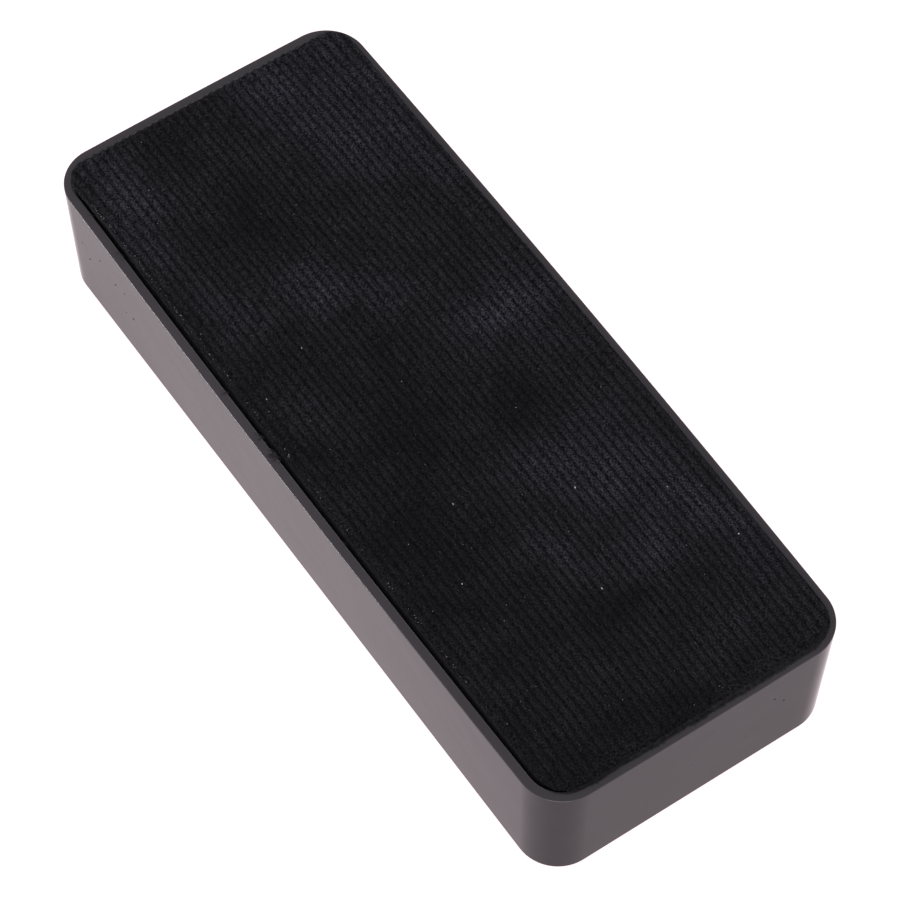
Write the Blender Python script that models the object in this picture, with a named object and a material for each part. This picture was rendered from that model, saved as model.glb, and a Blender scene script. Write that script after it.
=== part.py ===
"""A chalkboard eraser that lies on its back with its wiping face up.

Metres. +X runs along the eraser, +Y across it and +Z out of the wiping face. The origin is the middle
of the flat back. A shallow moulded tray holds a stack, from the bottom: glue dabs, a backing board, a
sheet of tape, a foam block, a sheet of film and the corduroy cover, whose skirt hides the foam's sides.
The corduroy sinks into the tray when the face is pressed against a board.
"""

import math

import bmesh
import bpy
from mathutils import Vector

# The tray, at its open mouth. Its long sides bow out a little, as thin moulded walls do.
LENGTH = 0.1500
WIDTH = 0.0601
RIM_HEIGHT = 0.0254
CORNER_RADIUS = 0.0078
SIDE_BOW = 0.0006
END_BOW = 0.0001
WALL = 0.00175
FLOOR = 0.0020

# The tray's draft: how far the back stands in from the mouth, and its own corner radius.
BACK_INSET_ENDS = 0.0010
BACK_INSET_SIDES = 0.0009
BACK_CORNER_RADIUS = 0.0074

# Small radii of the moulding.
BACK_FILLET = 0.0005
RIM_EDGE = 0.00025
FLOOR_FILLET = 0.0010
GATE_RADIUS = 0.0020
GATE_DEPTH = 0.0003

# The ribs on the tray's floor, which hold the board level and leave bays for the glue.
RIB_HEIGHT = 0.0025
RIB_THICKNESS = 0.0012
RIB_PITCH = 0.0370
CROSS_RIBS = 3
RIB_OVERLAP = 0.0006

# The stack, by the thickness of each layer. Touching layers keep the contact gap.
CONTACT_GAP = 0.00025
BOARD_THICKNESS = 0.0020
TAPE_THICKNESS = 0.0003
FILM_THICKNESS = 0.0002
CLOTH_THICKNESS = 0.0012
PAD_PROUD = 0.0015
PAD_TRAVEL = 0.0015

# Clearances round the stack, and the pad's small offset from the middle of the mouth.
BOARD_CLEARANCE = 0.0005
PAD_CLEARANCE = 0.00045
PAD_SHIFT = 0.0002
PAD_SHOULDER = 0.0014

# Glue dabs, one in each bay.
DAB_RADIUS = 0.0052
DAB_STEPS = 20

# Heights that follow from the sizes above.
BOARD_BOTTOM = FLOOR + RIB_HEIGHT + CONTACT_GAP
BOARD_TOP = BOARD_BOTTOM + BOARD_THICKNESS
TAPE_BOTTOM = BOARD_TOP + CONTACT_GAP
TAPE_TOP = TAPE_BOTTOM + TAPE_THICKNESS
FOAM_BOTTOM = TAPE_TOP + CONTACT_GAP
PAD_TOP = RIM_HEIGHT + PAD_PROUD
CLOTH_UNDERSIDE = PAD_TOP - CLOTH_THICKNESS
FILM_TOP = CLOTH_UNDERSIDE - CONTACT_GAP
FILM_BOTTOM = FILM_TOP - FILM_THICKNESS
FOAM_TOP = FILM_BOTTOM - CONTACT_GAP
SKIRT_BOTTOM = BOARD_TOP + PAD_TRAVEL + 4 * CONTACT_GAP

# How finely the outlines are drawn.
CORNER_STEPS = 7
SIDE_STEPS = 8
END_STEPS = 4


def arc(start_degrees, end_degrees, steps):
    """Angles in radians from start to end, both included."""
    span = end_degrees - start_degrees
    return [math.radians(start_degrees + span * i / steps) for i in range(steps + 1)]


def bowed_outline(half_length, half_width, radius, side_bow, end_bow, z, shift=0.0):
    """A closed rounded rectangle at height z, whose sides swell outwards in a shallow parabola."""
    flat_length = half_length - radius
    flat_width = half_width - radius
    points = []
    for quarter in range(4):
        along_x = quarter % 2 == 0
        sign_x = 1 if quarter in (0, 3) else -1
        sign_y = 1 if quarter in (0, 1) else -1
        for angle in arc(90 * quarter, 90 * quarter + 90, CORNER_STEPS):
            x = sign_x * flat_length + radius * math.cos(angle)
            y = sign_y * flat_width + radius * math.sin(angle)
            points.append((x, y))
        steps = SIDE_STEPS if along_x else END_STEPS
        for i in range(1, steps):
            u = 1 - 2 * i / steps
            bulge = (side_bow if along_x else end_bow) * (1 - u * u)
            if along_x:
                points.append((sign_x * u * flat_length, sign_y * (half_width + bulge)))
            else:
                points.append((sign_x * (half_length + bulge), sign_y * u * flat_width))
    return [Vector((x + shift, y + shift, z)) for x, y in points]


def tray_outline(z, inset, shift=0.0):
    """The tray's outer outline at height z, moved inwards by inset."""
    rise = z / RIM_HEIGHT
    fall = 1 - rise
    return bowed_outline(
        LENGTH / 2 - BACK_INSET_ENDS * fall - inset,
        WIDTH / 2 - BACK_INSET_SIDES * fall - inset,
        CORNER_RADIUS * rise + BACK_CORNER_RADIUS * fall - inset,
        SIDE_BOW * rise,
        END_BOW * rise,
        z,
        shift,
    )


def rounding(radius, steps, z_centre, inset_centre, start, end):
    """(z, inset) pairs along an arc of a section. Degrees run from 0, outwards, to 90, upwards."""
    return [
        (z_centre + radius * math.sin(a), inset_centre - radius * math.cos(a))
        for a in arc(start, end, steps)
    ]


def stacked(name, section, material, shift=0.0):
    """A closed solid whose skin runs through the tray's outlines at the (z, inset) pairs of section."""
    loops = [tray_outline(z, inset, shift) for z, inset in section]
    return lofted(name, loops, material)


def lofted(name, loops, material):
    """A closed solid from a run of loops of equal length, with a flat cap on the first and the last."""
    bm = bmesh.new()
    rings = [[bm.verts.new(point) for point in loop] for loop in loops]
    for lower, upper in zip(rings, rings[1:]):
        for i in range(len(lower)):
            j = (i + 1) % len(lower)
            bm.faces.new((lower[i], lower[j], upper[j], upper[i]))
    bm.faces.new(rings[0])
    bm.faces.new(rings[-1])
    bmesh.ops.recalc_face_normals(bm, faces=bm.faces)
    return finished(name, bm, material)


def finished(name, bm, material):
    """Turns a bmesh into a scene object with its material and smooth round faces."""
    mesh = bpy.data.meshes.new(name)
    bm.to_mesh(mesh)
    bm.free()
    mesh.shade_smooth()
    mesh.set_sharp_from_angle(angle=math.radians(35))
    mesh.materials.append(material)
    obj = bpy.data.objects.new(name, mesh)
    bpy.context.scene.collection.objects.link(obj)
    return obj


def plain_material(name, colour, roughness):
    material = bpy.data.materials.new(name)
    material.use_nodes = True
    shader = material.node_tree.nodes["Principled BSDF"]
    shader.inputs["Base Color"].default_value = (*colour, 1.0)
    shader.inputs["Roughness"].default_value = roughness
    shader.inputs["Metallic"].default_value = 0.0
    return material


def helper_block(name, low, high):
    """A hidden box from corner to corner, used by a Boolean."""
    bm = bmesh.new()
    bmesh.ops.create_cube(bm, size=1.0)
    size = Vector(high) - Vector(low)
    middle = (Vector(high) + Vector(low)) / 2
    bmesh.ops.scale(bm, vec=size, verts=bm.verts)
    bmesh.ops.translate(bm, vec=middle, verts=bm.verts)
    return hidden(name, bm)


def helper_disc(name, radius, low_z, high_z):
    """A hidden upright cylinder on the origin's axis, used by a Boolean."""
    bm = bmesh.new()
    bmesh.ops.create_cone(
        bm, cap_ends=True, segments=24, radius1=radius, radius2=radius, depth=high_z - low_z
    )
    bmesh.ops.translate(bm, vec=(0, 0, (high_z + low_z) / 2), verts=bm.verts)
    return hidden(name, bm)


def hidden(name, bm):
    mesh = bpy.data.meshes.new(name)
    bm.to_mesh(mesh)
    bm.free()
    obj = bpy.data.objects.new(name, mesh)
    obj.hide_render = True
    obj.display_type = "WIRE"
    bpy.context.scene.collection.objects.link(obj)
    return obj


def combine(obj, other, operation):
    modifier = obj.modifiers.new(other.name, "BOOLEAN")
    modifier.operation = operation
    modifier.solver = "EXACT"
    modifier.object = other


def make_housing(material):
    """The moulded tray: drafted walls, a floor with ribs, and a shallow gate mark on the back."""
    outside = rounding(BACK_FILLET, 3, BACK_FILLET, BACK_FILLET, -90, 0)
    outer_lip = rounding(RIM_EDGE, 2, RIM_HEIGHT - RIM_EDGE, RIM_EDGE, 0, 90)
    inner_lip = [(z, WALL - inset) for z, inset in reversed(outer_lip)]
    inner_foot = [
        (FLOOR + FLOOR_FILLET * (1 - math.cos(a)), WALL + FLOOR_FILLET * (1 - math.sin(a)))
        for a in arc(90, 0, 3)
    ]
    housing = stacked("housing", outside + outer_lip + inner_lip + inner_foot, material)

    # Each rib runs from wall to wall, so its ends stand a little way inside the walls.
    rib_low = FLOOR - RIB_OVERLAP
    rib_high = FLOOR + RIB_HEIGHT
    inner_foot_inset = WALL + BACK_INSET_SIDES - RIB_OVERLAP
    half_length = LENGTH / 2 - inner_foot_inset
    half_width = WIDTH / 2 - inner_foot_inset
    half_rib = RIB_THICKNESS / 2
    long_rib = helper_block(
        "rib_long", (-half_length, -half_rib, rib_low), (half_length, half_rib, rib_high)
    )
    combine(housing, long_rib, "UNION")
    for i in range(CROSS_RIBS):
        x = (i - (CROSS_RIBS - 1) / 2) * RIB_PITCH
        rib = helper_block(
            f"rib_cross_{i + 1}",
            (x - half_rib, -half_width, rib_low),
            (x + half_rib, half_width, rib_high),
        )
        combine(housing, rib, "UNION")

    gate = helper_disc("gate_mark", GATE_RADIUS, -GATE_DEPTH, GATE_DEPTH)
    combine(housing, gate, "DIFFERENCE")
    return housing


def make_glue_dabs(material):
    """Squeezed dabs of hot-melt glue, one in the middle of each bay, no two quite the same size."""
    bays = CROSS_RIBS + 1
    low = FLOOR + CONTACT_GAP
    high = BOARD_BOTTOM - CONTACT_GAP
    middle = (low + high) / 2
    for i in range(2 * bays):
        column, row = divmod(i, 2)
        x = (column - (bays - 1) / 2) * RIB_PITCH + 0.0008 * math.sin(5 * i)
        y = (row - 0.5) * WIDTH / 2 * 0.9 + 0.0006 * math.cos(3 * i)
        radius = DAB_RADIUS * (1 + 0.1 * math.sin(7 * i + 1))
        profile = [(low, 0.90), (middle - 0.0005, 1.0), (middle + 0.0005, 0.98), (high, 0.86)]
        loops = [dab_loop(x, y, z, radius * share, i) for z, share in profile]
        lofted(f"glue_dab_{i + 1}", loops, material)


def dab_loop(x, y, z, radius, seed):
    """A slightly uneven ring, longer along X where the dab was dragged."""
    points = []
    for step in range(DAB_STEPS):
        angle = 2 * math.pi * step / DAB_STEPS
        reach = radius * (1 + 0.05 * math.sin(3 * angle + seed))
        points.append(Vector((x + 1.25 * reach * math.cos(angle), y + reach * math.sin(angle), z)))
    return points


def make_backing_board(material):
    """The stiff board that spreads the hand's push over the foam."""
    inset = WALL + BOARD_CLEARANCE
    section = [(BOARD_BOTTOM, inset), (BOARD_TOP, inset)]
    return stacked("backing_board", section, material)


def pad_inset():
    """From the tray's outline to the outside of the cover's skirt."""
    return WALL + PAD_CLEARANCE


def foam_inset():
    return pad_inset() + CLOTH_THICKNESS + CONTACT_GAP


def make_foam_tape(material):
    """The die-cut sheet of double-sided tape between the board and the foam."""
    section = [(TAPE_BOTTOM, foam_inset()), (TAPE_TOP, foam_inset())]
    return stacked("foam_tape", section, material, PAD_SHIFT)


def make_foam_core(material):
    """The foam block, with its upper edge eased where the cloth turns over it."""
    edge = PAD_SHOULDER / 2
    top = rounding(edge, 2, FOAM_TOP - edge, foam_inset() + edge, 0, 90)
    return stacked("foam_core", [(FOAM_BOTTOM, foam_inset())] + top, material, PAD_SHIFT)


def make_cover_film(material):
    """The hot-melt film that bonds the cloth to the top of the foam."""
    inset = foam_inset() + PAD_SHOULDER / 2
    section = [(FILM_BOTTOM, inset), (FILM_TOP, inset)]
    return stacked("cover_film", section, material, PAD_SHIFT)


def make_corduroy_cover(material):
    """The cloth: a flat face, round shoulders and a skirt whose cut edge stops short of the board."""
    outer = rounding(PAD_SHOULDER, 4, PAD_TOP - PAD_SHOULDER, pad_inset() + PAD_SHOULDER, 90, 0)
    skirt = [(SKIRT_BOTTOM, pad_inset()), (SKIRT_BOTTOM, pad_inset() + CLOTH_THICKNESS)]
    inner_edge = PAD_SHOULDER / 2
    inner = rounding(
        inner_edge,
        2,
        CLOTH_UNDERSIDE - inner_edge,
        pad_inset() + CLOTH_THICKNESS + inner_edge,
        0,
        90,
    )
    return stacked("corduroy_cover", outer + skirt + inner, material, PAD_SHIFT)


def main():
    for obj in list(bpy.data.objects):
        bpy.data.objects.remove(obj)

    tray_plastic = plain_material("tray_plastic", (0.020, 0.019, 0.020), 0.16)
    glue = plain_material("hot_melt_glue", (0.75, 0.71, 0.58), 0.35)
    hardboard = plain_material("hardboard", (0.24, 0.14, 0.075), 0.70)
    tape = plain_material("tape", (0.82, 0.80, 0.74), 0.45)
    foam = plain_material("foam", (0.10, 0.10, 0.11), 0.95)
    film = plain_material("film", (0.80, 0.78, 0.70), 0.40)
    corduroy = plain_material("corduroy", (0.018, 0.018, 0.022), 0.95)

    make_housing(tray_plastic)
    make_glue_dabs(glue)
    make_backing_board(hardboard)
    make_foam_tape(tape)
    make_foam_core(foam)

    # What sinks when the face is pressed rides on one empty on the slide's axis.
    pad = bpy.data.objects.new("pad", None)
    bpy.context.scene.collection.objects.link(pad)
    make_cover_film(film).parent = pad
    make_corduroy_cover(corduroy).parent = pad


main()
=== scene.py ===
"""Looks for a chalkboard eraser: a glossy black moulded tray with a black corduroy pad.

Metres, in the part's frame: +X along the eraser, +Y across it and +Z out of the wiping face, with z = 0
at its back. The eraser lies on its back on a white studio floor.
"""

import math

import bmesh
import bpy
import numpy as np
from mathutils import Matrix, Vector


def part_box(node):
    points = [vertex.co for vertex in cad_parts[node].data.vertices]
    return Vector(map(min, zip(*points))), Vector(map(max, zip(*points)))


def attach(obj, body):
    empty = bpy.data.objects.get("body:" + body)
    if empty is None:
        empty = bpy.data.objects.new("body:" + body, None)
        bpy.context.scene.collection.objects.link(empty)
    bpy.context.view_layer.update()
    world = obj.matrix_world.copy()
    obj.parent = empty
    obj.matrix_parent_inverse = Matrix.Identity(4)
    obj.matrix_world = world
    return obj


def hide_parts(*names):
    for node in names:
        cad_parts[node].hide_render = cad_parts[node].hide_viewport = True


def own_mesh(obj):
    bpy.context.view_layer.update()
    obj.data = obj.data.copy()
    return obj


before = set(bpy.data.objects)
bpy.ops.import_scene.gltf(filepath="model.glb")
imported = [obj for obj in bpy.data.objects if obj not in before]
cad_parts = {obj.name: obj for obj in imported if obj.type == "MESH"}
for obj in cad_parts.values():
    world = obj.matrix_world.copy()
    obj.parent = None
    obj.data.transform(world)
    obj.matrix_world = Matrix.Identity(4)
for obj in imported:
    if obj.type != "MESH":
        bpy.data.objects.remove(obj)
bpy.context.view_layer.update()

MM = 0.001
SEED = 11

# The tray, from the frame, with the small sizes that a box can't tell. The holding loops beside each
# rounded edge keep the flat faces next to it flat in their shading.
tray_low, tray_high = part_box("housing")
SIDE_BOW = 0.60 * MM
END_BOW = 0.10 * MM
BACK_INSET_SIDES = 0.90 * MM
BACK_INSET_ENDS = 1.00 * MM
CORNER_RADIUS = 7.80 * MM
BACK_CORNER_RADIUS = 7.40 * MM
WALL = 1.75 * MM
FLOOR_THICKNESS = 2.00 * MM
BACK_FILLET = 0.50 * MM
RIM_EDGE = 0.12 * MM
FLOOR_FILLET = 1.00 * MM
EDGE_HOLD = 0.06 * MM
SMOOTH_BELOW = 35  # degrees
RIM_HEIGHT = tray_high.z
MOUTH_HALF_LENGTH = (tray_high.x - tray_low.x) / 2 - END_BOW
MOUTH_HALF_WIDTH = (tray_high.y - tray_low.y) / 2 - SIDE_BOW

# How much the tray and its rim's rounded edges mirror, and which of its faces count as such an edge. The
# edges reflect for real, but far more than the rest of the tray, which paints a highlight line along the
# rim.
TRAY_MIRROR = 0.066
EDGE_HIGHLIGHT_MIRROR = 0.60
LIP_TILT = 0.05
TINY = 0.001 * MM

# The ribs inside the tray, under the board.
board_low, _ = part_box("backing_board")
CONTACT_GAP = 0.25 * MM
RIB_TOP = board_low.z - CONTACT_GAP
RIB_THICKNESS = 1.20 * MM
RIB_PITCH = 37.0 * MM
RIB_ROOT = 0.60 * MM  # how far the ribs reach into the floor
RIB_END_GAP = 0.30 * MM
GATE_RADIUS = 2.00 * MM
GATE_DEPTH = 0.30 * MM

# The corduroy cover. It sits a little off centre in the tray, so its gap differs from side to side.
cover_low, cover_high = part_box("corduroy_cover")
PAD_TOP = cover_high.z
SKIRT_BOTTOM = cover_low.z
GAP_PLUS_X = 0.08 * MM
GAP_MINUS_X = 0.26 * MM
GAP_PLUS_Y = 0.10 * MM
GAP_MINUS_Y = 0.68 * MM
PAD_HALF_LENGTH = MOUTH_HALF_LENGTH - WALL - (GAP_PLUS_X + GAP_MINUS_X) / 2
PAD_HALF_WIDTH = MOUTH_HALF_WIDTH - WALL - (GAP_PLUS_Y + GAP_MINUS_Y) / 2
PAD_X = (GAP_MINUS_X - GAP_PLUS_X) / 2
PAD_Y = (GAP_MINUS_Y - GAP_PLUS_Y) / 2
PAD_CORNER = 5.80 * MM
SHOULDER = 1.05 * MM
SWELL_FROM = 0.02 * MM  # above the rim, where the cloth starts to bulge over it
SWELL_FULL = 0.40 * MM
CLOTH_THICKNESS = 1.20 * MM
WALE_PITCH = 1.485 * MM
WALE_HEIGHT = 0.42 * MM
TUFT_CELL = 0.23 * MM

# How many loose fibres and flecks there are, and how many points one fibre has.
PILE_FIBRES = 30000
MATTED_FIBRES = 3600
FLECKS = 260
EDGE_FLECKS = 110
FIBRE_POINTS = 7

# Patches of painted nap sheen, lighter where the nap leans towards the light, or darker where it leans
# away
# and the strength is negative: (x, y, reach along x, reach along y, strength), in millimetres.
NAP_SHEEN_PATCHES = (
    (-60, -22, 12, 5, 0.9),
    (-66, 12, 8, 12, 0.7),
    (-28, -8, 5, 9, 1.0),
    (-34, -21, 8, 4, 0.6),
    (-52, 16, 9, 5, 0.5),
    (-22, 4, 6, 4, 0.6),
    (-7, 17, 6, 9, 1.1),
    (-9, -21, 5, 4, 0.6),
    (8, -14, 6, 4, 0.2),
    (22, 5, 7, 6, 0.7),
    (28, 17, 9, 7, 0.9),
    (36, -2, 6, 5, 0.7),
    (44, 13, 5, 9, 0.8),
    (32, -16, 5, 6, 0.1),
    (64, 10, 6, 10, 0.3),
    (60, -8, 6, 7, 0.15),
    (46, 25, 14, 4, 0.6),
    (-44, 26, 20, 3, 0.5),
    (-16, 16, 5, 3, -0.40),
    (6, -10, 8, 4, -0.30),
    (9, 10, 6, 4, -0.40),
    (26, -18, 9, 7, -0.30),
    (51, 4, 4, 4, -0.40),
    (45, 19, 4, 3, -0.40),
    (-26, -14, 4, 3, -0.40),
    (-27, 23, 8, 3, -0.35),
    (-46, -6, 7, 5, -0.25),
    (-70, -6, 4, 8, -0.25),
    (70, -2, 3, 20, -0.30),
)

# Pale lint in the pile and grit on the tray's walls: how many pieces of each.
LINT = 15
SIDE_GRIT = 7
END_GRIT = 4

# Frayed threads that hang over the rim on the -Y side: (spread, number, radius), in millimetres. The
# first and thickest cluster sits by the middle, and the others fall anywhere along the side.
FRAY_MIDDLE = -5
FRAYS = (
    (0.9, 16, 0.10),
    (0.7, 6, 0.06),
    (0.7, 6, 0.05),
    (0.5, 5, 0.05),
    (0.3, 2, 0.05),
    (0.5, 2, 0.04),
)

# The camera, and the softboxes: (name, place, target, width, height, radiance).
CAMERA_PLACE = (0.30674, -0.21340, 0.60568)
CAMERA_TARGET = (0.01026, -0.00452, RIM_HEIGHT)
CAMERA_ROLL = 0.91  # degrees
CAMERA_LENS = 166.4
SOFTBOXES = (
    ("key", (-0.42, -0.16, 0.60), (0, 0, 0), 0.45, 0.45, 1.5),
    ("overhead", (-0.43, 0.30, 0.87), (0, 0, 0), 0.45, 0.45, 2.5),
    ("side", (-0.495, -0.80, 0.34), (0, 0, 0.02), 0.26, 0.30, 24.0),
    ("fill", (0.50, -0.35, 0.45), (0, 0, 0), 0.45, 0.45, 4.0),
)
FLOOR_HALF = 3
FLOOR_DROP = 0.05 * MM


# ---------------------------------------------------------------- helpers


def value_noise(x, y, cell, seed):
    """Smooth noise from -1 to 1 at arrays of points, with features about the size of a cell."""
    table = np.random.default_rng(SEED + seed).uniform(-1, 1, (256, 256))
    gx, gy = x / cell + 97.3, y / cell + 41.7
    ix, iy = np.floor(gx).astype(int), np.floor(gy).astype(int)
    fx, fy = gx - ix, gy - iy
    fx, fy = fx * fx * (3 - 2 * fx), fy * fy * (3 - 2 * fy)
    ix, iy, jx, jy = ix % 256, iy % 256, (ix + 1) % 256, (iy + 1) % 256
    low = table[ix, iy] * (1 - fx) + table[jx, iy] * fx
    high = table[ix, jy] * (1 - fx) + table[jx, jy] * fx
    return low * (1 - fy) + high * fy


def new_object(name, points, faces, smooth_angle=None):
    """A mesh object from points and faces, smooth where its faces meet below an angle."""
    mesh = bpy.data.meshes.new(name)
    mesh.from_pydata(np.asarray(points).tolist(), [], faces)
    mesh.update()
    obj = bpy.data.objects.new(name, mesh)
    bpy.context.scene.collection.objects.link(obj)
    if smooth_angle is not None:
        mesh.shade_smooth()
        mesh.set_sharp_from_angle(angle=math.radians(smooth_angle))
    return obj


def arc(start_degrees, end_degrees, steps):
    """Angles in radians from start to end, both included."""
    return np.radians(np.linspace(start_degrees, end_degrees, steps + 1))


def grid_faces(rows, columns, first=0):
    """Quads of a grid of points stored row by row."""
    row, column = np.meshgrid(np.arange(rows - 1), np.arange(columns - 1), indexing="ij")
    corner = (first + row * columns + column).ravel()
    return np.stack([corner, corner + columns, corner + columns + 1, corner + 1], 1)


def ring_faces(count, lower, upper):
    """Quads between two rings of count points, given the index of each ring's first point."""
    i = np.arange(count)
    j = (i + 1) % count
    return np.stack([lower + i, lower + j, upper + j, upper + i], 1)


def smoothstep(low, high, value):
    """Rises smoothly from 0 at low to 1 at high, or falls where high is the smaller."""
    t = np.clip((value - low) / (high - low), 0, 1)
    return t * t * (3 - 2 * t)


def unit(vectors):
    """The vectors scaled to length 1."""
    return vectors / np.linalg.norm(vectors, axis=-1, keepdims=True)


def bow_at(x):
    """How far the tray's long sides swell past their ends, at a place along the eraser."""
    return SIDE_BOW * (1 - (x / MOUTH_HALF_LENGTH) ** 2)


def outward(obj):
    """Turns every face of a closed mesh to look outwards."""
    bm = bmesh.new()
    bm.from_mesh(obj.data)
    bmesh.ops.recalc_face_normals(bm, faces=bm.faces)
    bm.to_mesh(obj.data)
    bm.free()


def from_bmesh(name, bm):
    """A mesh object from a bmesh, which is freed."""
    mesh = bpy.data.meshes.new(name)
    bm.to_mesh(mesh)
    bm.free()
    obj = bpy.data.objects.new(name, mesh)
    bpy.context.scene.collection.objects.link(obj)
    return obj


# ---------------------------------------------------------------- materials


class Nodes:
    """Short names for building a material's node tree."""

    def __init__(self, name):
        self.material = bpy.data.materials.new(name)
        self.material.use_nodes = True
        self.tree = self.material.node_tree
        self.shader = self.tree.nodes["Principled BSDF"]
        self.place = self.add("ShaderNodeTexCoord").outputs["Object"]

    def add(self, kind, **settings):
        """A new node with its settings."""
        node = self.tree.nodes.new(kind)
        for key, value in settings.items():
            setattr(node, key, value)
        return node

    def link(self, source, target):
        self.tree.links.new(source, target)

    def stretched(self, scale):
        """The object's coordinates times a scale along each axis."""
        mapping = self.add("ShaderNodeMapping")
        mapping.inputs["Scale"].default_value = scale
        self.link(self.place, mapping.inputs["Vector"])
        return mapping.outputs["Vector"]

    def attribute(self, name):
        """A value that the mesh carries for each vertex."""
        return self.add("ShaderNodeAttribute", attribute_name=name).outputs["Fac"]

    def noise(self, scale, detail=2.0, roughness=0.5, distortion=0.0, vector=None):
        """Noise over the object's coordinates, or over another vector."""
        node = self.add("ShaderNodeTexNoise")
        node.inputs["Scale"].default_value = scale
        node.inputs["Detail"].default_value = detail
        node.inputs["Roughness"].default_value = roughness
        node.inputs["Distortion"].default_value = distortion
        self.link(vector or self.place, node.inputs["Vector"])
        return node.outputs["Fac"]

    def spread(self, value, low, high, to_low=0.0, to_high=1.0):
        """A value moved from one range to another, and clamped there."""
        node = self.add("ShaderNodeMapRange")
        node.inputs["From Min"].default_value = low
        node.inputs["From Max"].default_value = high
        node.inputs["To Min"].default_value = to_low
        node.inputs["To Max"].default_value = to_high
        self.link(value, node.inputs["Value"])
        return node.outputs["Result"]

    def maths(self, operation, a, b):
        """Two numbers or outputs, put together by an operation."""
        node = self.add("ShaderNodeMath", operation=operation)
        for socket, value in zip(node.inputs, (a, b)):
            if isinstance(value, (int, float)):
                socket.default_value = value
            else:
                self.link(value, socket)
        return node.outputs["Value"]

    def blend(self, factor, first, second, how="MIX"):
        """A colour between two, or one worked on by the other. Colours are triples or outputs."""
        node = self.add("ShaderNodeMix", data_type="RGBA", blend_type=how)
        colours = [s for s in node.inputs if s.type == "RGBA"]
        for socket, value in zip(colours, (first, second)):
            if isinstance(value, tuple):
                socket.default_value = (*value, 1.0)
            else:
                self.link(value, socket)
        if isinstance(factor, (int, float)):
            node.inputs["Factor"].default_value = factor
        else:
            self.link(factor, node.inputs["Factor"])
        return next(s for s in node.outputs if s.type == "RGBA")

    def bump(self, height, strength, distance):
        """Fine relief on the shader's normal."""
        node = self.add("ShaderNodeBump")
        node.inputs["Strength"].default_value = strength
        node.inputs["Distance"].default_value = distance
        self.link(height, node.inputs["Height"])
        self.link(node.outputs["Normal"], self.shader.inputs["Normal"])

    def set(self, **sockets):
        """Sets or links the shader's sockets, with spaces written as underscores."""
        for key, value in sockets.items():
            socket = self.shader.inputs[key.replace("_", " ")]
            if isinstance(value, bpy.types.NodeSocket):
                self.link(value, socket)
            elif isinstance(value, tuple):
                socket.default_value = (*value, 1.0)
            else:
                socket.default_value = value
        return self.material


def glossy_tray_plastic(name, level):
    """Black ABS, polished by the mould, with a faint ripple, handling haze and hairline scratches.

    The level says how much it mirrors. The rounded edges of the rim get a far higher level, a painted
    highlight along the rim.
    """
    n = Nodes(name)
    haze = n.noise(60.0, 4.0, 0.6)
    smear = n.noise(1.0, 3.0, 0.6, 1.0, n.stretched((40.0, 140.0, 140.0)))
    hazy = n.spread(haze, 0.35, 0.7, 0.08, 0.17)
    roughness = n.maths("ADD", hazy, n.spread(smear, 0.5, 0.75, 0.0, 0.06))
    ripple = n.noise(110.0, 2.0, 0.4)
    scratch = n.noise(1.0, 2.0, 0.7, 0.6, n.stretched((220.0, 5200.0, 5200.0)))
    fine = n.maths("MULTIPLY", n.spread(scratch, 0.68, 0.80), 0.15)
    n.bump(n.maths("ADD", n.maths("MULTIPLY", ripple, 6.0), fine), 0.25, 0.03 * MM)
    tone = n.blend(n.spread(haze, 0.3, 0.75), (0.018, 0.015, 0.0175), (0.022, 0.0185, 0.0215))
    return n.set(Base_Color=tone, Roughness=roughness, IOR=1.5, Specular_IOR_Level=level)


def corduroy_cloth():
    """Black cotton pile, with a painted sheen where the nap leans to the light, mottled tufts, and
    painted shade in the grooves.
    """
    n = Nodes("corduroy_pile")
    pile = n.attribute("pile")
    nap_sheen = n.attribute("nap_sheen")
    grain = n.noise(1.0, 1.0, 0.6, 0.0, n.stretched((5000.0, 2800.0, 4000.0)))
    # Painted shade: the grooves between the wales are darker than the tips. Painted sheen: both grow
    # lighter with the nap sheen.
    groove_shade = n.blend(nap_sheen, (0.0039, 0.0038, 0.0041), (0.0054, 0.0052, 0.0066))
    tips = n.blend(nap_sheen, (0.0053, 0.0052, 0.0054), (0.0178, 0.0172, 0.0210))
    cloth = n.blend(n.spread(pile, 0.25, 1.10), groove_shade, tips)
    dull = n.blend(1.0, cloth, n.blend(nap_sheen, (0.50, 0.50, 0.51), (0.16, 0.16, 0.17)), "MULTIPLY")
    bright = n.blend(1.0, cloth, n.blend(nap_sheen, (2.0, 2.0, 1.95), (3.4, 3.4, 3.3)), "MULTIPLY")
    n.bump(n.noise(1.0, 3.0, 0.8, 0.0, n.stretched((4200.0, 3000.0, 4200.0))), 0.9, 0.12 * MM)
    return n.set(
        Base_Color=n.blend(n.spread(grain, 0.40, 0.66), dull, bright),
        Roughness=0.95,
        Sheen_Weight=0.03,
        Sheen_Roughness=0.4,
        Sheen_Tint=(0.80, 0.80, 1.0),
        Specular_IOR_Level=0.0,
    )


def pile_fibre():
    """Loose fibres on the pile, painted a little lighter than the cloth for the light that passes their
    tips, and lighter with the painted nap sheen.
    """
    n = Nodes("pile_fibre")
    nap_sheen = n.attribute("nap_sheen")
    tone = n.spread(n.noise(1300.0, 2.0, 0.6), 0.35, 0.70)
    # Painted light: lighter for the light through the tips, and lighter still with the painted nap sheen.
    shade = n.blend(nap_sheen, (0.0135, 0.0132, 0.0142), (0.0480, 0.0468, 0.0540))
    colour = n.blend(tone, n.blend(1.0, shade, (0.35, 0.35, 0.35), "MULTIPLY"), shade)
    return n.set(
        Base_Color=colour,
        Roughness=0.8,
        Sheen_Weight=0.05,
        Sheen_Roughness=0.4,
        Sheen_Tint=(0.80, 0.80, 1.0),
        Specular_IOR_Level=0.05,
    )


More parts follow.
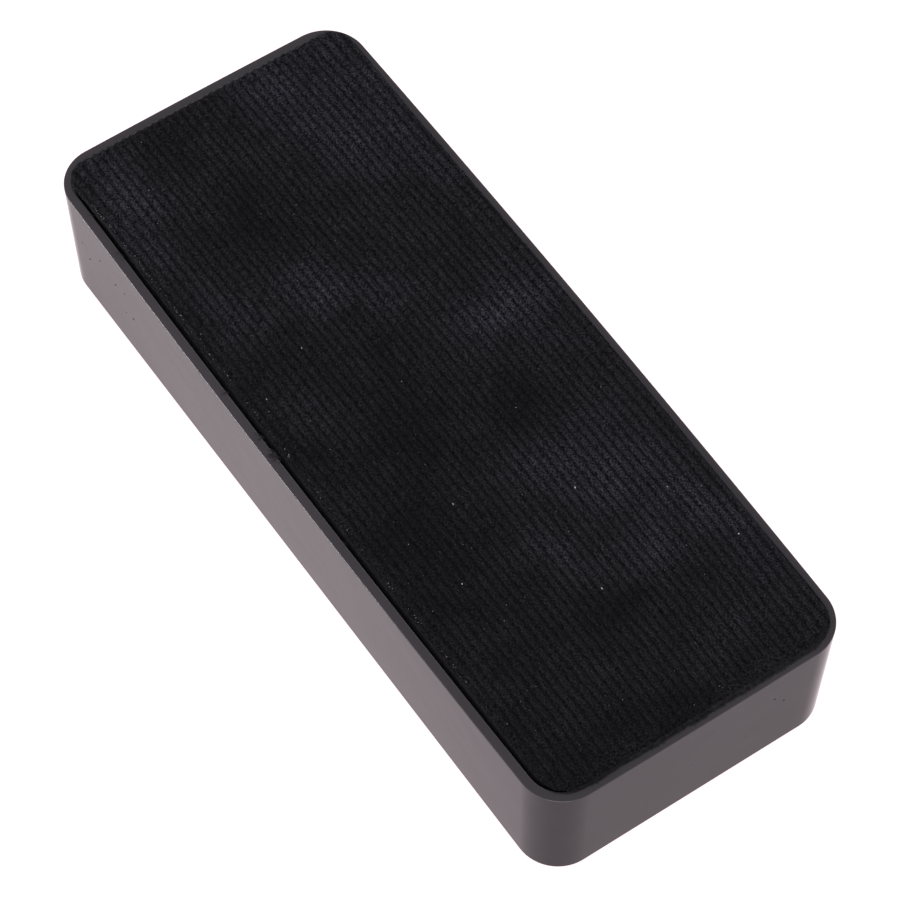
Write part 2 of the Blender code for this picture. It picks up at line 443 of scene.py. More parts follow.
def dark_thread():
    """Black thread, twisted and a little dusty."""
    n = Nodes("dark_thread")
    tone = n.blend(n.noise(1500.0, 2.0), (0.006, 0.006, 0.007), (0.018, 0.018, 0.021))
    return n.set(Base_Color=tone, Roughness=0.85, Sheen_Weight=0.05, Specular_IOR_Level=0.2)


def pale_lint():
    """Chalk-pale lint and dust."""
    n = Nodes("pale_lint")
    tone = n.blend(n.noise(2500.0, 2.0), (0.16, 0.16, 0.16), (0.42, 0.41, 0.40))
    return n.set(Base_Color=tone, Roughness=0.85, Sheen_Weight=0.2)


def dark_grit():
    """Brown-black grit."""
    n = Nodes("dark_grit")
    tone = n.blend(n.noise(3000.0, 2.0), (0.010, 0.009, 0.010), (0.035, 0.030, 0.030))
    return n.set(Base_Color=tone, Roughness=0.9)


def hot_melt():
    """Cloudy amber-white glue with a skin."""
    n = Nodes("hot_melt_glue")
    cloud = n.noise(420.0, 4.0, 0.55, 0.3)
    tone = n.blend(n.spread(cloud, 0.3, 0.7), (0.70, 0.62, 0.43), (0.86, 0.82, 0.70))
    n.bump(n.noise(700.0, 3.0, 0.6), 0.4, 0.1 * MM)
    return n.set(
        Base_Color=tone,
        Roughness=n.spread(cloud, 0.3, 0.7, 0.25, 0.45),
        Subsurface_Weight=0.3,
        Subsurface_Scale=2 * MM,
    )


def brown_hardboard():
    """Pressed wood fibre, smooth and darker in patches."""
    n = Nodes("hardboard")
    fibres = n.noise(1.0, 5.0, 0.7, 0.8, n.stretched((700.0, 1400.0, 1400.0)))
    patches = n.noise(55.0, 3.0, 0.6)
    base = n.blend(n.spread(fibres, 0.35, 0.68), (0.13, 0.070, 0.034), (0.33, 0.205, 0.115))
    tone = n.blend(n.spread(patches, 0.3, 0.7, 0.0, 0.35), base, (0.16, 0.092, 0.050))
    n.bump(fibres, 0.5, 0.1 * MM)
    return n.set(Base_Color=tone, Roughness=n.spread(fibres, 0.3, 0.7, 0.55, 0.8))


def tacky_film(name, light, dark, roughness):
    """A thin glue film or tape, with faint bubbles and streaks."""
    n = Nodes(name)
    streaks = n.noise(1.0, 3.0, 0.6, 0.5, n.stretched((60.0, 500.0, 500.0)))
    bubbles = n.noise(900.0, 2.0, 0.5)
    tone = n.blend(n.spread(streaks, 0.3, 0.7), dark, light)
    n.bump(n.spread(bubbles, 0.55, 0.7), 0.3, 0.05 * MM)
    return n.set(Base_Color=tone, Roughness=n.spread(streaks, 0.3, 0.7, roughness, roughness + 0.2))


def open_foam():
    """Charcoal foam with open cells, with painted shade in the cell hollows."""
    n = Nodes("foam_cells")
    cells = n.add("ShaderNodeTexVoronoi", feature="F1")
    cells.inputs["Scale"].default_value = 1400.0
    n.link(n.place, cells.inputs["Vector"])
    hollow_depth_and_shade = n.spread(cells.outputs["Distance"], 0.15, 0.75)
    clouds = n.noise(90.0, 3.0)
    struts = n.blend(n.spread(clouds, 0.3, 0.7), (0.085, 0.085, 0.092), (0.12, 0.12, 0.13))
    # Painted shade: the cell hollows are darker than the struts.
    tone = n.blend(hollow_depth_and_shade, (0.018, 0.018, 0.020), struts)
    n.bump(hollow_depth_and_shade, 0.9, 0.25 * MM)
    return n.set(Base_Color=tone, Roughness=0.95, Sheen_Weight=0.1)


def studio_floor():
    """A white table that glows a little, so that it stays pale right up to the eraser."""
    n = Nodes("studio_floor")
    grain = n.noise(18.0, 3.0)
    tone = n.blend(n.spread(grain, 0.3, 0.7), (0.215, 0.192, 0.200), (0.225, 0.202, 0.210))
    return n.set(
        Base_Color=tone,
        Roughness=0.9,
        Specular_IOR_Level=0.2,
        Emission_Color=(1.0, 0.87, 0.90),
        Emission_Strength=0.96,
    )


# ---------------------------------------------------------------- the tray


def bowed_outline(half_length, half_width, radius, side_bow, end_bow, z):
    """A closed rounded rectangle at height z, whose sides swell outwards in a shallow parabola."""
    corner_steps, side_steps, end_steps = 20, 44, 20
    flat_length = half_length - radius
    flat_width = half_width - radius
    points = []
    for quarter in range(4):
        along_x = quarter % 2 == 0
        sign_x = 1 if quarter in (0, 3) else -1
        sign_y = 1 if quarter in (0, 1) else -1
        for angle in arc(90 * quarter, 90 * quarter + 90, corner_steps):
            x = sign_x * flat_length + radius * math.cos(angle)
            y = sign_y * flat_width + radius * math.sin(angle)
            points.append((x, y, z))
        steps = side_steps if along_x else end_steps
        for i in range(1, steps):
            u = 1 - 2 * i / steps
            bulge = (side_bow if along_x else end_bow) * (1 - u * u)
            if along_x:
                points.append((sign_x * u * flat_length, sign_y * (half_width + bulge), z))
            else:
                points.append((sign_x * (half_length + bulge), sign_y * u * flat_width, z))
    return points


def tray_outline(z, inset):
    """The tray's outer outline at height z, moved inwards by inset."""
    rise = z / RIM_HEIGHT
    fall = 1 - rise
    return bowed_outline(
        MOUTH_HALF_LENGTH - BACK_INSET_ENDS * fall - inset,
        MOUTH_HALF_WIDTH - BACK_INSET_SIDES * fall - inset,
        CORNER_RADIUS * rise + BACK_CORNER_RADIUS * fall - inset,
        SIDE_BOW * rise,
        END_BOW * rise,
        z,
    )


def loft(name, loops, smooth_angle=SMOOTH_BELOW):
    """A closed skin through a run of loops, with a flat cap at each end."""
    count = len(loops[0])
    points = [p for loop in loops for p in loop]
    faces = []
    for i in range(len(loops) - 1):
        faces += ring_faces(count, i * count, (i + 1) * count).tolist()
    faces.append(list(range(count)))
    faces.append(list(range((len(loops) - 1) * count, len(loops) * count)))
    obj = new_object(name, points, faces, smooth_angle)
    outward(obj)
    return obj


def block(name, low, high):
    """A box from corner to corner, for a Boolean."""
    low, high = Vector(low), Vector(high)
    bm = bmesh.new()
    bmesh.ops.create_cube(bm, size=1.0)
    bmesh.ops.scale(bm, vec=high - low, verts=bm.verts)
    bmesh.ops.translate(bm, vec=(high + low) / 2, verts=bm.verts)
    return from_bmesh(name, bm)


def apply_booleans(obj, tools):
    """Joins or cuts obj with each (tool, operation), then removes the tools."""
    for tool, operation in tools:
        modifier = obj.modifiers.new(tool.name, "BOOLEAN")
        modifier.operation = operation
        modifier.solver = "EXACT"
        modifier.object = tool
    graph = bpy.context.evaluated_depsgraph_get()
    mesh = bpy.data.meshes.new_from_object(obj.evaluated_get(graph))
    obj.modifiers.clear()
    obj.data = mesh
    for tool, _ in tools:
        bpy.data.objects.remove(tool)


def tray_section():
    """(height, inset) of each loop of the tray: up its outside, over the lip and down its inside."""
    section = [
        (BACK_FILLET * (1 + math.sin(a)), BACK_FILLET * (1 - math.cos(a))) for a in arc(-90, 0, 6)
    ]
    low, high = BACK_FILLET, RIM_HEIGHT - RIM_EDGE
    section.append((low + EDGE_HOLD, 0.0))
    section += [(low + (high - low) * i / 8, 0.0) for i in range(1, 8)]
    section.append((high - EDGE_HOLD, 0.0))
    lip = [
        (high + RIM_EDGE * math.sin(a), RIM_EDGE * (1 - math.cos(a))) for a in arc(0, 90, 5)
    ]
    section += lip
    section.append((RIM_HEIGHT, RIM_EDGE + EDGE_HOLD))
    section.append((RIM_HEIGHT, WALL - RIM_EDGE - EDGE_HOLD))
    section += [(z, WALL - inset) for z, inset in reversed(lip)]
    section.append((high - EDGE_HOLD, WALL))
    section += [(high - (high - FLOOR_THICKNESS - FLOOR_FILLET) * i / 4, WALL) for i in range(1, 4)]
    section += [
        (FLOOR_THICKNESS + FLOOR_FILLET * (1 - math.cos(a)), WALL + FLOOR_FILLET * (1 - math.sin(a)))
        for a in arc(90, 0, 4)
    ]
    return section


def rib_tools():
    """The ribs on the tray's floor, one along it and three across it."""
    bottom = FLOOR_THICKNESS - RIB_ROOT
    reach_x = MOUTH_HALF_LENGTH - WALL - RIB_END_GAP - BACK_INSET_ENDS
    reach_y = MOUTH_HALF_WIDTH - WALL - RIB_END_GAP - BACK_INSET_SIDES
    half = RIB_THICKNESS / 2
    tools = [(block("rib_long", (-reach_x, -half, bottom), (reach_x, half, RIB_TOP)), "UNION")]
    for i in (-1, 0, 1):
        x = i * RIB_PITCH
        rib = block("rib_cross", (x - half, -reach_y, bottom), (x + half, reach_y, RIB_TOP))
        tools.append((rib, "UNION"))
    return tools


def gate_tool():
    """The round hollow that the moulding gate leaves in the middle of the back."""
    gate = bmesh.new()
    bmesh.ops.create_cone(
        gate, cap_ends=True, segments=48, radius1=GATE_RADIUS, radius2=GATE_RADIUS, depth=2 * GATE_DEPTH
    )
    return from_bmesh("gate_mark", gate), "DIFFERENCE"


def colour_tray(tray):
    """One plastic for the tray, and a copy that mirrors far more on the rounded edges of its rim as a
    painted highlight.
    """
    tray.data.materials.clear()
    tray.data.materials.append(glossy_tray_plastic("tray_plastic", TRAY_MIRROR))
    tray.data.materials.append(glossy_tray_plastic("tray_edge_highlight", EDGE_HIGHLIGHT_MIRROR))
    for face in tray.data.polygons:
        on_lip = RIM_HEIGHT - RIM_EDGE < face.center.z < RIM_HEIGHT - TINY
        face.material_index = 1 if on_lip and face.normal.z > LIP_TILT else 0


def make_tray():
    """The moulded tray with its ribs and its gate mark."""
    tray = loft("tray_housing", [tray_outline(z, inset) for z, inset in tray_section()])
    apply_booleans(tray, rib_tools() + [gate_tool()])
    tray.data.shade_smooth()
    tray.data.set_sharp_from_angle(angle=math.radians(SMOOTH_BELOW))
    colour_tray(tray)
    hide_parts("housing")
    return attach(tray, "tray")


# ---------------------------------------------------------------- the corduroy

CORE_X = PAD_HALF_LENGTH - PAD_CORNER
CORE_Y = PAD_HALF_WIDTH - PAD_CORNER
FLAT_REACH = PAD_CORNER - SHOULDER
ARC_LENGTH = SHOULDER * math.pi / 2
SKIRT_LENGTH = PAD_TOP - SHOULDER - SKIRT_BOTTOM
SKIRT_TAPER = BACK_INSET_SIDES / RIM_HEIGHT


def cloth_swell(u, v, turn):
    """How far the cloth bulges past the tray's mouth, most of all along the +Y side and at the -X end."""
    far = smoothstep(-45 * MM, -70 * MM, u)
    side_x = np.where(u > 0, 0.45, 0.20) * np.cos(turn) ** 2
    side_y = np.where(v > 0, 0.50 + 0.35 * far, 0.15 + 0.60 * far) * np.sin(turn) ** 2
    corner = np.where(v < 0, np.where(u < 0, 0.85, 0.35), np.where(u < 0, 0.75, 0.45))
    corner = corner * np.sin(2 * turn) ** 2
    return (side_x + side_y + corner) * MM


def pad_surface(u, v):
    """Where the cloth, unrolled to (u, v), lies on the pad.

    Returns the points and normals of the pile's tips, and the places along and across the wales. Past
    the flat core the cloth runs over a round shoulder and down the skirt, fanned out at the corners.
    Above the rim it swells a little over the tray's edge.
    """
    a = np.maximum(np.abs(u) - CORE_X, 0)
    b = np.maximum(np.abs(v) - CORE_Y, 0)
    reach = np.maximum(a, b)
    turn = math.pi / 4 * np.minimum(a, b) / np.maximum(reach, 1e-12)
    turn = np.where(a >= b, turn, math.pi / 2 - turn)
    turn = np.where(reach > 0, turn, 0)
    side_x, side_y = np.sign(u) * np.cos(turn), np.sign(v) * np.sin(turn)
    lean = np.clip((reach - FLAT_REACH) / SHOULDER, 0, math.pi / 2)
    hang = np.maximum(reach - FLAT_REACH - ARC_LENGTH, 0)
    out = np.minimum(reach, FLAT_REACH) + SHOULDER * np.sin(lean) - SKIRT_TAPER * hang
    z = PAD_TOP - SHOULDER * (1 - np.cos(lean)) - hang
    above = smoothstep(SWELL_FROM, SWELL_FULL, z - RIM_HEIGHT)
    out = out + cloth_swell(u, v, turn) * above * np.minimum(reach / FLAT_REACH, 1)
    core_x, core_y = np.clip(u, -CORE_X, CORE_X), np.clip(v, -CORE_Y, CORE_Y)
    x, y = core_x + side_x * out, core_y + side_y * out
    y = y * (1 + SIDE_BOW * (1 - (x / PAD_HALF_LENGTH) ** 2) / PAD_HALF_WIDTH)
    point = np.stack([x + PAD_X, y + PAD_Y, z], -1)
    flat = np.sin(lean)
    normal = np.stack([side_x * flat, side_y * flat, np.cos(lean)], -1)
    return point, normal, core_x + side_x * reach, core_y + side_y * reach


def wale_phase(along, across):
    """Counts wales across the cloth. They slant a little and wander, and bend back at the +X end."""
    bend = np.maximum(along - 10 * MM, 0)
    slant = 0.016 * along - 0.28 * bend ** 2
    wander = 0.13 * MM * value_noise(along, across, 17 * MM, 1)
    wander += 0.07 * MM * value_noise(along, across, 4.5 * MM, 2)
    return (across - slant - wander) / WALE_PITCH


def pile_wear(along, across):
    """(how flat the pile is rubbed, how bare it is, how rough its tufts stand).

    It is flat at both ends of the pad, more so at the +X end, and bare along much of the -Y edge. The
    tufts are roughest toward the -X end.
    """
    rubbed = smoothstep(-20 * MM, 55 * MM, along)
    end = smoothstep(PAD_HALF_LENGTH - 3.4 * MM, PAD_HALF_LENGTH - 0.8 * MM, np.abs(along))
    bare = smoothstep(PAD_HALF_WIDTH - 1.7 * MM, PAD_HALF_WIDTH - 0.9 * MM, -across)
    bare = bare * smoothstep(-45 * MM, -15 * MM, along)
    flat = np.maximum(end * (0.25 + 0.45 * rubbed), 0.8 * bare)
    return flat, bare, 1.25 - 0.75 * rubbed


def pile_height(along, across):
    """(height of the pile past its envelope, share of the full pile there).

    Each wale is a row of tufts, narrow along the wale and as wide as the wale across it.
    """
    phase = wale_phase(along, across)
    row = np.round(phase)
    off = 2 * (phase - row)
    ridge = 1 - np.abs(off) ** 2.4
    slanted = along + 0.22 * off * WALE_PITCH
    tufts = value_noise(slanted, row * 7.3 * MM, TUFT_CELL, 3)
    tufts = 1.25 * tufts + 0.14 * value_noise(slanted, row * 5.9 * MM, 3 * TUFT_CELL, 4)
    grain = value_noise(along, across, 0.30 * MM, 5)
    worn = value_noise(along, across, 9 * MM, 6)
    flat, bare, rough = pile_wear(along, across)
    standing = ridge * (0.78 + 0.18 * rough * tufts) * (1 + 0.10 * worn) + 0.13 * rough * grain
    matted = (0.60 + 0.15 * grain + 0.12 * tufts) * (1 - 0.25 * bare)
    share = np.clip(standing, 0, 1.2) * (1 - flat) + matted * flat
    return WALE_HEIGHT * (share - 1.1), share


def nap_sheen_at(x, y):
    """The painted nap sheen, from 0 to 1: lighter where the nap leans towards the light, and lighter
    towards the +Y side and the -X end, where more light falls.
    """
    # Painted light: the base value grows lighter towards +Y and towards the -X end.
    nap_sheen = 0.14 + 0.16 * smoothstep(-10 * MM, 28 * MM, y) + 0.10 * smoothstep(0, -70 * MM, x)
    ragged_x = x / MM + 2.5 * value_noise(x, y, 8 * MM, 8)
    ragged_y = y / MM + 2.5 * value_noise(x, y, 8 * MM, 9)
    for middle_x, middle_y, reach_x, reach_y, strength in NAP_SHEEN_PATCHES:
        away = ((ragged_x - middle_x) / reach_x) ** 2 + ((ragged_y - middle_y) / reach_y) ** 2
        nap_sheen = nap_sheen + 0.55 * strength * np.exp(-away)
    nap_sheen = nap_sheen + 0.10 * value_noise(x, y, 5 * MM, 10) + 0.07 * value_noise(x, y, 2.2 * MM, 11)
    return np.clip(nap_sheen, 0, 1)


def cloth_at(u, v):
    """(points, normals, pile share) of the cloth's outside."""
    point, normal, along, across = pad_surface(u, v)
    height, share = pile_height(along, across)
    return point + normal * height[..., None], normal, share


def unrolled_lines(core, fine, coarse):
    """Grid lines from one hem to the other, fine where the cloth shows and coarse down in the tray."""
    shown = core + FLAT_REACH + ARC_LENGTH + 1.6 * MM
    end = core + FLAT_REACH + ARC_LENGTH + SKIRT_LENGTH
    middle = np.linspace(-shown, shown, int(2 * shown / fine) + 1)
    outer = np.linspace(shown, end, int((end - shown) / coarse) + 2)[1:]
    return np.concatenate([-outer[::-1], middle, outer])


def add_attribute(obj, name, values):
    """A value for each vertex, and zero for the vertices past the end of the list."""
    attribute = obj.data.attributes.new(name, "FLOAT", "POINT")
    full = np.zeros(len(obj.data.vertices), np.float32)
    full[: len(values)] = values
    attribute.data.foreach_set("value", full)


def lining_section():
    """(depth, height) of each loop of the cloth's inside: in at the hem, up and round the shoulder."""
    radius = SHOULDER / 2
    underside = PAD_TOP - CLOTH_THICKNESS
    section = [(CLOTH_THICKNESS, SKIRT_BOTTOM)]
    section += [
        (CLOTH_THICKNESS + radius * (1 - math.cos(a)), underside - radius * (1 - math.sin(a)))
        for a in arc(0, 90, 4)
    ]
    return section


def make_cover():
    """The corduroy: ribbed pile outside, plain ground cloth inside, and a cut hem at the skirt's foot."""
    fine_u, fine_v = ((0.23 * MM, 0.195 * MM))
    lines_u = unrolled_lines(CORE_X, fine_u, 1.5 * MM)
    lines_v = unrolled_lines(CORE_Y, fine_v, 1.5 * MM)
    u, v = np.meshgrid(lines_u, lines_v, indexing="ij")
    point, normal, share = cloth_at(u, v)
    rows, columns = u.shape
    faces = grid_faces(rows, columns).tolist()
    index = np.arange(rows * columns).reshape(rows, columns)
    hem = np.concatenate([index[:, 0], index[-1, 1:], index[-2::-1, -1], index[0, -2:0:-1]])

    # The inside is a run of loops that each copy the hem, closed by a cap.
    points = [point.reshape(-1, 3)]
    base = points[0][hem]
    inward = -normal.reshape(-1, 3)[hem]
    previous = hem
    start = rows * columns
    after = np.roll(np.arange(len(hem)), -1)
    for depth, z in lining_section():
        loop = base + inward * (depth - 0.5 * WALE_HEIGHT)
        loop[:, 2] = z
        points.append(loop)
        now = np.arange(start, start + len(hem))
        faces += np.stack([previous, now, now[after], previous[after]], 1).tolist()
        previous = now
        start += len(hem)
    faces.append(previous.tolist())
    cover = new_object("corduroy_pad", np.concatenate(points), faces, 80)
    outward(cover)
    add_attribute(cover, "pile", share.ravel())
    add_attribute(cover, "nap_sheen", nap_sheen_at(point[..., 0], point[..., 1]).ravel())
    cover.data.materials.append(corduroy_cloth())
    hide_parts("corduroy_cover")
    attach(cover, "pad")
    return cover


# ---------------------------------------------------------------- fibres, lint and specks


def fibres(name, roots, tips, radii, bend, material):
    """Thin closed tapered fibres from roots to tips, each bent in the middle, as one mesh."""
    axis = unit(tips - roots)
    helper = np.where(np.abs(axis[:, 2:]) < 0.9, [[0.0, 0.0, 1.0]], [[1.0, 0.0, 0.0]])
    first = unit(np.cross(axis, helper))
    second = np.cross(axis, first)
    rings = []
    for share, thick in ((0.0, 1.0), (0.5, 0.85)):
        centre = roots + (tips - roots) * share + bend * (4 * share * (1 - share))
        for corner in range(3):
            angle = 2 * math.pi * corner / 3
            side = first * math.cos(angle) + second * math.sin(angle)
            rings.append(centre + side * (radii * thick)[:, None])
    rings.append(tips)
    points = np.stack(rings, 1).reshape(-1, 3)
    pattern = [(2, 1, 0), (0, 1, 4, 3), (1, 2, 5, 4), (2, 0, 3, 5), (3, 4, 6), (4, 5, 6), (5, 3, 6)]
    faces = []
    for start in range(0, FIBRE_POINTS * len(roots), FIBRE_POINTS):
        faces += [tuple(start + k for k in face) for face in pattern]
    obj = new_object(name, points, faces, 60)
    obj.data.materials.append(material)
    return obj


def make_pile_fibres():
    """Tuft ends on the wales: short, lying mostly across the wale, and leaning with the nap."""
    rng = np.random.default_rng(SEED)
    shown_u = CORE_X + FLAT_REACH + ARC_LENGTH
    shown_v = CORE_Y + FLAT_REACH + ARC_LENGTH
    u = rng.uniform(-shown_u, shown_u, PILE_FIBRES)
    v = rng.uniform(-shown_v, shown_v, PILE_FIBRES)
    point, normal, share = cloth_at(u, v)
    nap_sheen = nap_sheen_at(point[:, 0], point[:, 1])
    on_wale = share > rng.uniform(0.45, 1.0, PILE_FIBRES)
    kept = on_wale & (rng.uniform(0, 1, PILE_FIBRES) < 0.45 + 0.8 * nap_sheen)
    point, normal, nap_sheen = point[kept], normal[kept], nap_sheen[kept]
    count = len(point)
    lean_x, lean_y = rng.normal(0, 0.35, count), rng.normal(0.35, 0.9, count)
    lean = np.stack([lean_x, lean_y, rng.normal(0, 0.2, count)], 1)
    way = unit(0.55 * normal + lean)
    length = rng.uniform(0.20, 0.52, count)[:, None] * MM
    bend = rng.normal(0, 0.03 * MM, (count, 3))
    radii = rng.uniform(0.022, 0.045, count) * MM
    root = point - 0.03 * MM * normal
    obj = fibres("pile_fibres", root, point + way * length, radii, bend, pile_fibre())
    add_attribute(obj, "nap_sheen", np.repeat(nap_sheen, FIBRE_POINTS))
    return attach(obj, "pad")


def blobs(name, centres, sizes, material, flatten):
    """Small uneven closed lumps, as one mesh, each scaled by flatten along the axes."""
    rng = np.random.default_rng(SEED + 40)
    bm = bmesh.new()
    for centre, size in zip(centres, sizes):
        made = bmesh.ops.create_icosphere(bm, subdivisions=1, radius=size / 2)["verts"]
        stretch = np.array(flatten) * rng.uniform(0.6, 1.3, 3)
        for vert in made:
            knob = rng.uniform(0.75, 1.2)
            vert.co = Vector(centre) + Vector([vert.co[k] * stretch[k] * knob for k in range(3)])
    obj = from_bmesh(name, bm)
    obj.data.shade_smooth()
    obj.data.materials.append(material)
    return obj


def on_pad(x, y):
    """(point, normal) of the cloth's outside above places given on the pad's top."""
    u, v = np.asarray(x) - PAD_X, np.asarray(y) - PAD_Y
    v = v / (1 + SIDE_BOW * (1 - (u / PAD_HALF_LENGTH) ** 2) / PAD_HALF_WIDTH)
    point, normal, _ = cloth_at(u, v)
    return point, normal


def make_lint(material):
    """Pale lint here and there in the pile, mostly small pieces."""
    rng = np.random.default_rng(SEED + 3)
    x = rng.uniform(-70 * MM, 70 * MM, LINT)
    y = rng.uniform(-26 * MM, 26 * MM, LINT)
    size = (0.15 + 0.19 * rng.uniform(0, 1, LINT) ** 3) * MM
    point, normal = on_pad(x, y)
    lint = blobs("pale_lint", point + 0.06 * MM * normal, size, material, (1.2, 0.8, 0.6))
    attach(lint, "pad")


def make_flecks(material):
    """Fine pale flecks of dust all over the pile, and more pale flecks along its -Y edge."""
    rng = np.random.default_rng(SEED + 1)
    x = rng.uniform(-72 * MM, 72 * MM, FLECKS)
    y = rng.uniform(-28 * MM, 28 * MM, FLECKS)
    size = rng.uniform(0.04, 0.10, FLECKS) * MM
    edge_x = (-64 + 120 * rng.uniform(0, 1, EDGE_FLECKS) ** 1.7) * MM
    edge_y = -PAD_HALF_WIDTH + PAD_Y + rng.normal(0.75, 0.12, EDGE_FLECKS) * MM
    edge_y -= SIDE_BOW * (1 - (edge_x / PAD_HALF_LENGTH) ** 2)
    point, normal = on_pad(np.append(x, edge_x), np.append(y, edge_y))
    size = np.append(size, rng.uniform(0.05, 0.11, EDGE_FLECKS) * MM)
    flecks = blobs("pale_flecks", point + 0.03 * MM * normal, size, material, (1.4, 0.8, 0.6))
    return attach(flecks, "pad")


def make_frays(rng):
    """Threads that rise out of the gap and lie over the -Y rim."""
    places = np.random.default_rng(SEED + 5).uniform(-65, 65, len(FRAYS))
    places[0] = FRAY_MIDDLE
    roots, tips, bends, radii = [], [], [], []
    for x, (spread, number, radius) in zip(places, FRAYS):
        for _ in range(number):
            rim_y = -MOUTH_HALF_WIDTH - bow_at(x * MM)
            start = x + rng.normal(0, spread * 0.5)
            root_y = rim_y + WALL + rng.uniform(0.2, 0.5) * MM
            roots.append((start * MM, root_y, RIM_HEIGHT - rng.uniform(0.1, 0.5) * MM))
            tip_y = rim_y + WALL - rng.uniform(0.5, 1.6) * MM
            tip_x = (start + rng.normal(-0.3, spread)) * MM
            tips.append((tip_x, tip_y, RIM_HEIGHT + rng.uniform(0.10, 0.25) * MM))
            bends.append((rng.normal(0, 0.15) * MM, 0.1 * MM, 0.30 * MM))
            radii.append(radius * rng.uniform(0.7, 1.2) * MM)
    roots, tips, bends, radii = (np.array(values) for values in (roots, tips, bends, radii))
    fray = fibres("frayed_threads", roots, tips, radii, bends, dark_thread())
    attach(fray, "tray")


def lap_over_rim(y):
    """How far, in millimetres, the matted pile laps over the +X rim. It thins out round the corners."""
    half = MOUTH_HALF_WIDTH - CORNER_RADIUS
    lap = 0.95 + 0.25 * smoothstep(-15 * MM, 0, y)
    lap += 0.20 * value_noise(y, 0 * y, 2.5 * MM, 12) + 0.15 * value_noise(y, 0 * y, 0.8 * MM, 13)
    lap *= 1 - 0.5 * smoothstep(half - 1 * MM, half + 3 * MM, y)
    lap *= 1 - 0.6 * smoothstep(half - 2 * MM, half + 2 * MM, -y)
    return lap


def make_matted_pile(rng):
    """Matted pile that laps over the +X rim."""
    count = MATTED_FIBRES
    half = MOUTH_HALF_WIDTH - CORNER_RADIUS
    y = rng.uniform(-half - 2.5 * MM, half + 3.5 * MM, count)
    past = np.maximum(np.abs(y) - half, 0)
    corner = CORNER_RADIUS - WALL
    inner = MOUTH_HALF_LENGTH - WALL - corner + np.sqrt(corner ** 2 - past ** 2)
    inner += END_BOW * np.maximum(1 - (y / half) ** 2, 0)
    height = rng.uniform(0, 1, count)
    end_x = inner + lap_over_rim(y) * (1 - 0.7 * height) * rng.uniform(0.5, 1.05, count) * MM
    end_y = y + rng.normal(0, 0.3, count) * MM
    start = np.stack([inner - 0.30 * MM, y, RIM_HEIGHT + (0.05 + 0.95 * height) * MM], 1)
    end = np.stack([end_x, end_y, RIM_HEIGHT + (0.05 + 0.3 * height) * MM], 1)
    lift = np.tile([0, 0, 0.06 * MM], (count, 1))
    matted = fibres("matted_pile", start, end, rng.uniform(0.040, 0.065, count) * MM, lift, pile_fibre())
    add_attribute(matted, "nap_sheen", np.full(FIBRE_POINTS * count, 0.20))
    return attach(matted, "tray")


def make_specks():
    """Grit stuck to the tray: on its -Y wall toward the -X end, and on its +X wall."""
    rng = np.random.default_rng(SEED + 4)
    x = rng.uniform(-66 * MM, -45 * MM, SIDE_GRIT)
    z = rng.uniform(7 * MM, 18 * MM, SIDE_GRIT)
    size = rng.uniform(0.27, 0.50, SIDE_GRIT) * MM
    rise = z / RIM_HEIGHT
    y = -(MOUTH_HALF_WIDTH + bow_at(x) * rise - BACK_INSET_SIDES * (1 - rise))
    side = blobs("side_grit", np.stack([x, y, z], 1), size, dark_grit(), (1.0, 0.15, 1.0))
    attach(side, "tray")
    y = rng.uniform(-18 * MM, 18 * MM, END_GRIT)
    z = rng.uniform(7 * MM, 21 * MM, END_GRIT)
    size = rng.uniform(0.30, 0.55, END_GRIT) * MM
    rise = z / RIM_HEIGHT
    x = MOUTH_HALF_LENGTH + END_BOW * rise - BACK_INSET_ENDS * (1 - rise)
    end = blobs("end_grit", np.stack([x, y, z], 1), size, dark_grit(), (0.15, 1.0, 1.0))
    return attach(end, "tray")


# ---------------------------------------------------------------- the inside


def make_foam():
    """The foam block: cut sides with a soft edge on top, a little waisted as cut foam is."""
    low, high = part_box("foam_core")
    inset = MOUTH_HALF_LENGTH - (high.x - low.x) / 2 + END_BOW
    edge = SHOULDER / 2
    waist = 0.15 * MM
    foot = 0.20 * MM
    section = [(low.z, inset + foot), (low.z + foot, inset)]
    for i in range(1, 8):
        share = i / 8
        z = low.z + (high.z - edge - low.z) * share
        section.append((z, inset + waist * math.sin(math.pi * share)))
    section += [
        (high.z - edge * (1 - math.sin(a)), inset + edge * (1 - math.cos(a))) for a in arc(0, 90, 4)
    ]
    loops = []
    for z, depth in section:
        outline = np.array(tray_outline(z, depth))
        outline[:, 0] += (low.x + high.x) / 2
        outline[:, 1] += (low.y + high.y) / 2
        loops.append(outline.tolist())
    foam = loft("foam_block", loops, 40)
    foam.data.materials.append(open_foam())
    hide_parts("foam_core")
    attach(foam, "tray")
    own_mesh(foam)
    return foam


def finish_inner_pieces():
    """Materials for the flat and glued pieces, whose CAD shapes are right as they are."""
    glue = hot_melt()
    looks = {
        "backing_board": brown_hardboard(),
        "foam_tape": tacky_film("double_sided_tape", (0.86, 0.84, 0.78), (0.74, 0.72, 0.64), 0.35),
        "cover_film": tacky_film("hot_melt_film", (0.82, 0.78, 0.66), (0.70, 0.66, 0.54), 0.25),
    }
    for name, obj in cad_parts.items():
        material = glue if name.startswith("glue_dab") else looks.get(name)
        if material is None:
            continue
        for slot in obj.material_slots:
            slot.material = material


# ---------------------------------------------------------------- studio


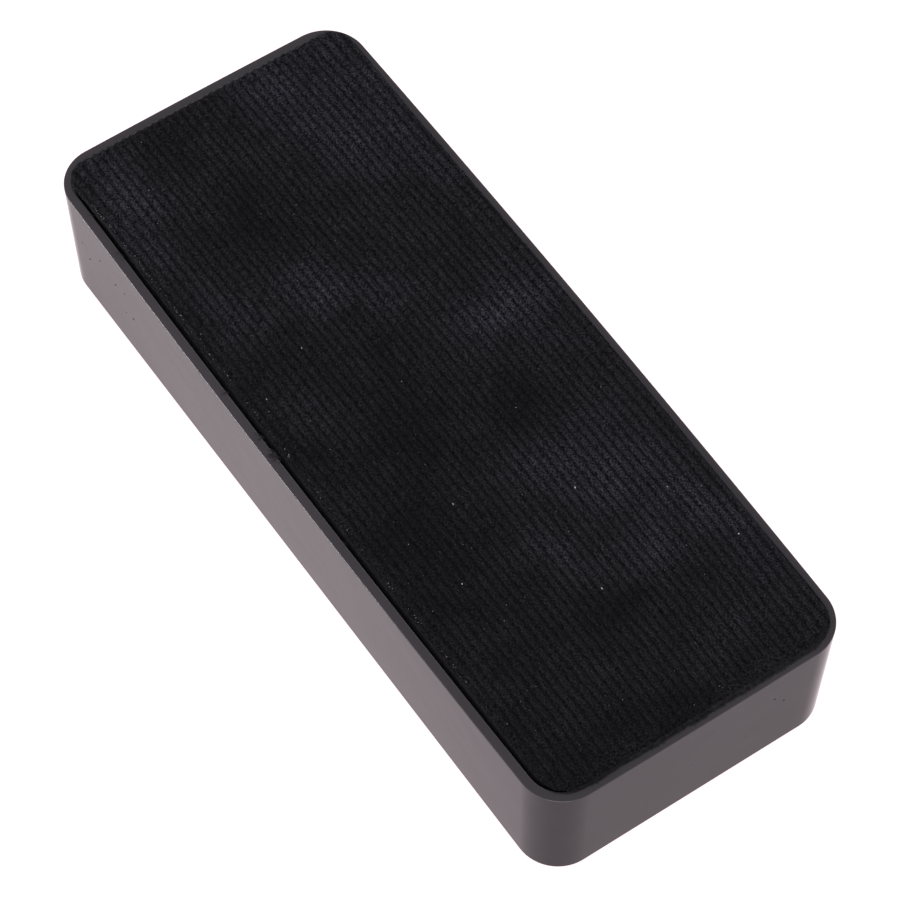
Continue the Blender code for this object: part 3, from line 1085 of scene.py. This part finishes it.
def looking_at(place, target):
    """The matrix of a camera or light that stands at a place and points at a target."""
    place, target = Vector(place), Vector(target)
    turn = (target - place).to_track_quat("-Z", "Y").to_matrix().to_4x4()
    return Matrix.Translation(place) @ turn


def make_camera():
    """A long lens above the +X end and the -Y side, tilted slightly about its own axis."""
    data = bpy.data.cameras.new("camera")
    data.lens = CAMERA_LENS
    data.sensor_width = 36.0
    data.clip_start = 0.01
    camera = bpy.data.objects.new("camera", data)
    roll = Matrix.Rotation(math.radians(CAMERA_ROLL), 4, "Z")
    camera.matrix_world = looking_at(CAMERA_PLACE, CAMERA_TARGET) @ roll
    bpy.context.scene.collection.objects.link(camera)
    bpy.context.scene.camera = camera


def softbox(name, place, target, width, height, radiance):
    """A rectangular light that looks equally bright from the front, whatever its size."""
    data = bpy.data.lights.new(name, "AREA")
    data.shape = "RECTANGLE"
    data.size = width
    data.size_y = height
    data.energy = radiance * math.pi * width * height
    light = bpy.data.objects.new(name, data)
    light.matrix_world = looking_at(place, target)
    bpy.context.scene.collection.objects.link(light)


def make_studio():
    """Even light all round, the softboxes and the floor."""
    world = bpy.data.worlds.new("studio")
    world.use_nodes = True
    background = world.node_tree.nodes["Background"]
    background.inputs["Color"].default_value = (0.98, 0.98, 1.05, 1.0)
    background.inputs["Strength"].default_value = 1.0
    bpy.context.scene.world = world
    for row in SOFTBOXES:
        softbox(*row)

    corners = [(x * FLOOR_HALF, y * FLOOR_HALF, 0) for x, y in ((-1, -1), (1, -1), (1, 1), (-1, 1))]
    floor = new_object("floor", corners, [(0, 1, 2, 3)])
    floor.location.z = -FLOOR_DROP
    floor.data.materials.append(studio_floor())

    view = bpy.context.scene.view_settings
    view.view_transform = "Standard"
    view.look = "None"


make_camera()
make_studio()
make_tray()
make_cover()
make_pile_fibres()
lint_look = pale_lint()
make_lint(lint_look)
make_flecks(lint_look)
fray_rng = np.random.default_rng(SEED + 2)
make_frays(fray_rng)
make_matted_pile(fray_rng)
make_specks()
make_foam()
finish_inner_pieces()
